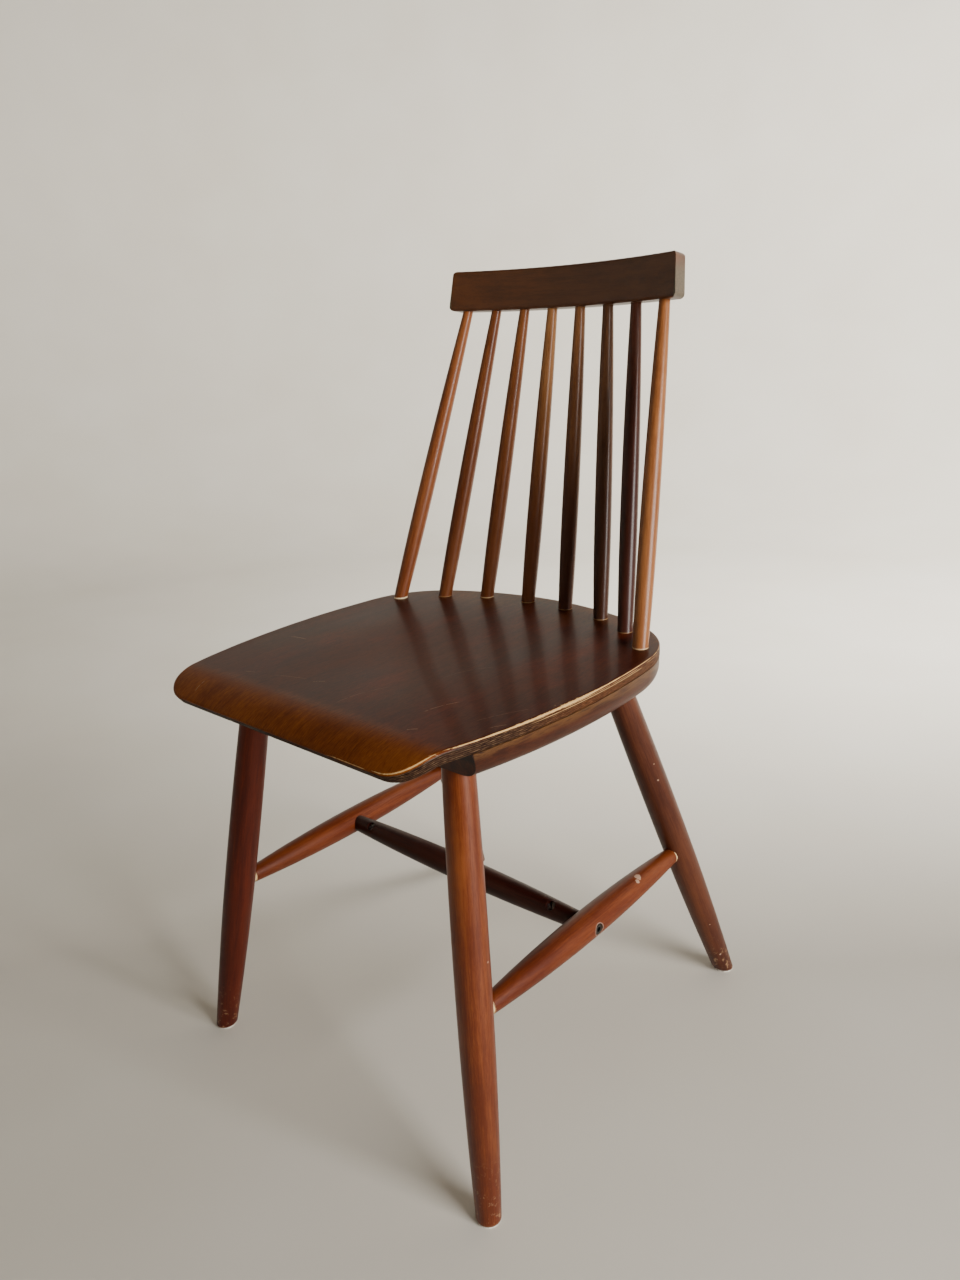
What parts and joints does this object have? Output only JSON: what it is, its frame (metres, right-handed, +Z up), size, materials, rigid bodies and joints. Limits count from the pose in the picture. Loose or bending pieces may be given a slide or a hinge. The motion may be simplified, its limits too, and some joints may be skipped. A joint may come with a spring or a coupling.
{
  "type": "dining chair",
  "caption": "Wooden dining chair with a moulded plywood seat on side bearers, splayed turned legs tied by an H stretcher, and a spindle back under a curved top rail.",
  "frame": {"origin": "on the floor, at the centre of the chair's footprint box, midway between the seat's front edge and the back of the rear feet", "axes": "+Z up; the sitter faces -Y; +X is the sitter's left, and the chair is a mirror image about the plane X = 0"},
  "size_m": [0.413, 0.4823, 0.7992],
  "materials": {
    "seat_ply": "dark red-brown stained plywood, satin lacquer, worn pale edges",
    "bearer_wood": "red-brown stained wood, satin lacquer",
    "leg_wood": "red-brown stained turned wood, satin lacquer",
    "stretcher_wood": "red-brown stained turned wood, satin lacquer, pale bare tenons",
    "cross_wood": "dark brown stained turned wood, satin lacquer",
    "spindle_wood": "orange-brown to dark stained turned wood, satin lacquer",
    "rail_wood": "dark brown stained wood, satin lacquer",
    "bolt_steel": "dull plated steel",
    "nut_steel": "dull plated steel",
    "nail_steel": "plain steel",
    "glide_nylon": "worn off-white nylon"
  },
  "bodies": {
    "root": {"seat_board": "seat_ply", "bearer_left": "bearer_wood", "bearer_right": "bearer_wood", "leg_front_left": "leg_wood", "leg_front_right": "leg_wood", "leg_rear_left": "leg_wood", "leg_rear_right": "leg_wood", "stretcher_left": "stretcher_wood", "stretcher_right": "stretcher_wood", "cross_stretcher": "cross_wood", "spindle_1": "spindle_wood", "spindle_2": "spindle_wood", "spindle_3": "spindle_wood", "spindle_4": "spindle_wood", "spindle_5": "spindle_wood", "spindle_6": "spindle_wood", "spindle_7": "spindle_wood", "spindle_8": "spindle_wood", "top_rail": "rail_wood", "connector_bolt_left": "bolt_steel", "connector_bolt_right": "bolt_steel", "barrel_nut_left": "nut_steel", "barrel_nut_right": "nut_steel", "glide_front_left": "glide_nylon", "glide_front_right": "glide_nylon", "glide_rear_left": "glide_nylon", "glide_rear_right": "glide_nylon", "glide_nails": "nail_steel"}
  },
  "joints": []
}
